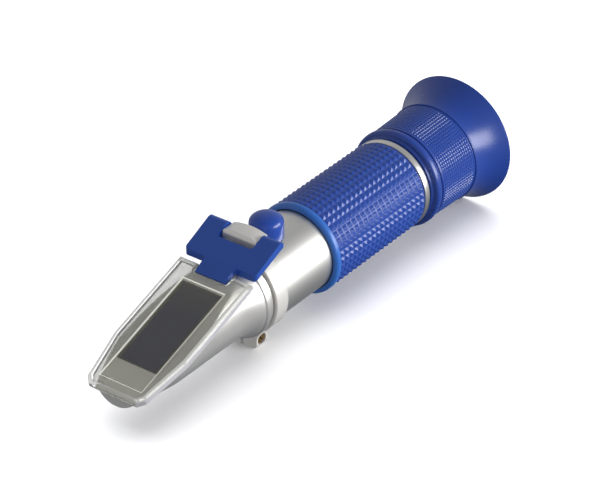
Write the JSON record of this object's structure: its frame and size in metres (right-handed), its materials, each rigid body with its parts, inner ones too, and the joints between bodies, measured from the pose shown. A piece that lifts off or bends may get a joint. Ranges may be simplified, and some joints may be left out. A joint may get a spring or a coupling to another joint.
{
  "type": "optical refractometer",
  "caption": "Hand-held optical refractometer: flared eyecup, focusing ring, knurled grip, aluminium tube and wedge-shaped prism head under a hinged clear daylight plate.",
  "frame": {"origin": "middle of the instrument's overall box, which lies on the optical axis", "axes": "+X along the optical axis from the eyecup to the prism head, +Z out of the side that the prism face looks to, +Y across to the left"},
  "size_m": [0.1594, 0.04, 0.04],
  "materials": {
    "eyecup_rubber": "smooth blue rubber",
    "cap_rubber": "smooth blue rubber",
    "grip_rubber": "knurled blue rubber",
    "bracket_plastic": "moulded blue plastic, semi-gloss",
    "ring_plastic": "moulded light blue plastic",
    "satin_aluminium": "satin anodised aluminium",
    "cast_aluminium": "fine blasted cast aluminium",
    "black_anodised": "black anodised aluminium",
    "steel": "turned steel",
    "brass": "turned brass, slightly dull",
    "bimetal": "rolled bimetal strip",
    "optical_glass": "polished optical glass",
    "prism_glass": "polished prism glass over a dark pocket",
    "clear_acrylic": "clear moulded acrylic",
    "black_rubber": "black sealing rubber"
  },
  "bodies": {
    "instrument": {"prism_box": "cast_aluminium", "measuring_prism": "prism_glass", "prism_seal": "black_rubber", "neck_oring": "black_rubber", "clamp_ring": "satin_aluminium", "clamp_screw": "brass", "hinge_pin": "steel", "body_tube": "satin_aluminium", "front_ring": "ring_plastic", "grip_sleeve": "grip_rubber", "rear_collar": "satin_aluminium", "guide_pin": "brass", "reticle_ring": "black_anodised", "reticle": "optical_glass", "reticle_seat": "black_anodised", "light_stop": "black_anodised", "compensator_mount": "black_anodised", "bimetal_strip": "bimetal", "screw_bush": "satin_aluminium"},
    "cover": {"daylight_plate": "clear_acrylic", "hinge_bracket": "bracket_plastic"},
    "eyepiece": {"eyepiece_barrel": "black_anodised", "lens_retaining_ring": "black_anodised", "eye_lens": "optical_glass", "lens_spacer": "black_anodised", "field_lens": "optical_glass"},
    "focus_control": {"focus_ring": "eyecup_rubber", "eyecup": "eyecup_rubber"},
    "calibrator": {"calibration_screw": "steel"},
    "objective": {"objective_carriage": "brass", "objective_lens": "optical_glass"},
    "cap": {"calibration_cap": "cap_rubber"}
  },
  "joints": [
    {"name": "cover_hinge", "type": "hinge", "parent": "instrument", "child": "cover", "pos_m": [0.02174, 0, 0.016], "axis": [0, -1, 0], "range_deg": [0, 112]},
    {"name": "focus_slide", "type": "slide", "parent": "instrument", "child": "eyepiece", "axis": [1, 0, 0], "range_m": [-0.005, 0.0006]},
    {"name": "focus_turn", "type": "hinge", "parent": "eyepiece", "child": "focus_control", "pos_m": [-0.06756, 0, 0], "axis": [1, 0, 0], "range_deg": [-180, 21.6]},
    {"name": "calibration_screw_turn", "type": "hinge", "parent": "instrument", "child": "calibrator", "pos_m": [0.01104, 0, 0.0161], "axis": [0, 0, 1], "range_deg": [-360, 360]},
    {"name": "objective_shift", "type": "slide", "parent": "instrument", "child": "objective", "axis": [0, 0, 1], "range_m": [-0.00035, 0.00035]},
    {"name": "cap_pull", "type": "slide", "parent": "instrument", "child": "cap", "axis": [0, 0, 1], "range_m": [0, 0.012]}
  ],
  "couplings": [
    {"joint": "focus_slide", "follows": "focus_turn", "m_per_rad": 0.0015915},
    {"joint": "calibration_screw_turn", "follows": "objective_shift", "rad_per_m": -17952}
  ]
}
